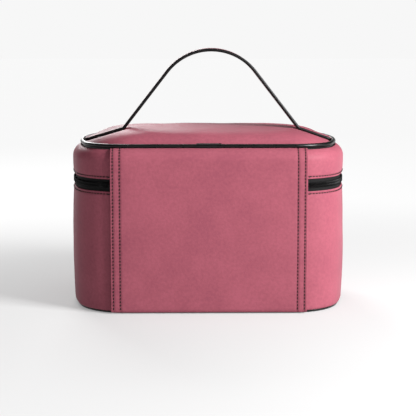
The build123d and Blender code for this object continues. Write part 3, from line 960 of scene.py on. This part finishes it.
def bottom_piece():
    """Bottom leather, flat where the case stands on it."""
    bm = bmesh.new()
    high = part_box("bottom_panel")[1]
    ring = plan_ring(bm, half_width - high.x, 0)
    bmesh.ops.holes_fill(bm, edges=ring, sides=0)
    bmesh.ops.recalc_face_normals(bm, faces=bm.faces)
    made = bmesh.ops.extrude_face_region(bm, geom=bm.faces[:])["geom"]
    raised = [part for part in made if isinstance(part, bmesh.types.BMVert)]
    bmesh.ops.translate(bm, vec=(0, 0, high.z), verts=raised)
    bmesh.ops.recalc_face_normals(bm, faces=bm.faces)
    rims = [edge for edge in bm.edges if all(v.co.z < 0.01 * MM for v in edge.verts)]
    round_off(bm, rims)
    piece = make_piece("bottom_leather", bm, "base", [finish["leather"]])
    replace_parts(piece, "bottom_panel")


base_wall_piece()
lid_wall_piece()
back_panel_piece()
edge_stitching("base_edge_stitching", "base", base_edge - EDGE_STITCH)
edge_stitching("lid_edge_stitching", "lid", lid_edge + EDGE_STITCH)
panel_stitching()
lid_top_piece()
handle_piece()
zip_teeth("zip_teeth_lower", "base", -1)
zip_teeth("zip_teeth_upper", "lid", 1)
base_hem, lid_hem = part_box("base_lining")[1].z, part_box("lid_lining")[0].z
cloth_wall("base_cloth_lining", "base", floor_top + 0.1 * MM, base_hem, 1, "base_lining")
cloth_wall("lid_cloth_lining", "lid", lid_hem, ceiling - 0.2 * MM, -1, "lid_lining")
cloth_floor("floor_cloth", "base", floor_top, 1, "base_floor_lining")
cloth_floor("ceiling_cloth", "lid", ceiling, -1, "lid_ceiling_lining")
hinge_cloth()
slip_pocket()
bottom_piece()

# ---- Finishes of the parts that stay as they are ----
kept = {
    "piping": ("top_piping", "bottom_piping", "piping_sleeve"),
    "tape": ("zip_tape_lower", "zip_tape_upper"),
    "slider": ("zip_slider_left", "zip_slider_right", "zip_pull_left", "zip_pull_right"),
    "board": ("base_board", "lid_board", "back_backing_lower", "back_backing_upper"),
}
for name, nodes in kept.items():
    for node in nodes:
        mesh = frame["nodes"][node].data
        mesh.materials.clear()
        mesh.materials.append(finish[name])

# ---- Studio ----
# A white table that glows more the further it is from the case, under a pale horizon and a dim ceiling.
PAPER_GLOW = (0.30, 0.92)  # near the case and far from it
PAPER_TINT = (0.36, 0.01)
GLOW_REACH = (0.17, 0.75)  # distances where near ends and far begins
HORIZON_RISE = (0.05, 0.14)  # upward part of the direction where the pale band ends and the ceiling begins
HORIZON_GLOW = (0.93, 0.07)

floor_bm = bmesh.new()
bmesh.ops.create_grid(floor_bm, x_segments=1, y_segments=1, size=8)
floor_mesh = bpy.data.meshes.new("studio_floor")
floor_bm.to_mesh(floor_mesh)
floor_bm.free()
studio_floor = bpy.data.objects.new("studio_floor", floor_mesh)
bpy.context.scene.collection.objects.link(studio_floor)
paper, paper_tree, paper_shader, paper_place = new_finish("white_paper_coated", Roughness=0.9)
far = put(paper_tree, "ShaderNodeVectorMath", {0: paper_place}, operation="LENGTH").outputs["Value"]
for socket, ends in (("Base Color", PAPER_TINT), ("Emission Strength", PAPER_GLOW)):
    paper_tree.links.new(fade(paper_tree, far, GLOW_REACH, ends, "SMOOTHSTEP"), paper_shader.inputs[socket])
paper_shader.inputs["Emission Color"].default_value = (1, 1, 1, 1)
floor_mesh.materials.append(paper)


def hang(light, power, place, direction):
    """Puts a light at a place, pointing along a direction."""
    light.energy = power
    lamp = bpy.data.objects.new(light.name, light)
    lamp.location = place
    lamp.rotation_euler = direction.to_track_quat("-Z", "Y").to_euler()
    bpy.context.scene.collection.objects.link(lamp)


def area_light(name, place, aim, size, power):
    """A square soft light at a place, aimed at a point."""
    light = bpy.data.lights.new(name, "AREA")
    light.size = size
    hang(light, power, place, Vector(aim) - Vector(place))


def soft_sun(name, direction, spread, strength):
    """Even light from far away, along a direction, softened by its spread."""
    light = bpy.data.lights.new(name, "SUN")
    light.angle = spread
    hang(light, strength, (0, 0, 0), Vector(direction))


area_light("key", (-0.80, 0.56, 0.55), (0, 0.05, 0.09), 0.38, 25)
area_light("front_fill", (0.35, -1.1, 0.7), (0, -0.05, 0.08), 0.6, 12)
soft_sun("overhead", (0.1, -0.1, -1), radians(40), 0.7)
world = bpy.data.worlds.new("studio")
bpy.context.scene.world = world
world.use_nodes = True
direction = put(world.node_tree, "ShaderNodeTexCoord").outputs["Generated"]
upward = put(world.node_tree, "ShaderNodeSeparateXYZ", {"Vector": direction}).outputs["Z"]
horizon = fade(world.node_tree, upward, HORIZON_RISE, HORIZON_GLOW)
backlight = world.node_tree.nodes["Background"]
backlight.inputs["Color"].default_value = (1, 1, 1, 1)
world.node_tree.links.new(horizon, backlight.inputs["Strength"])
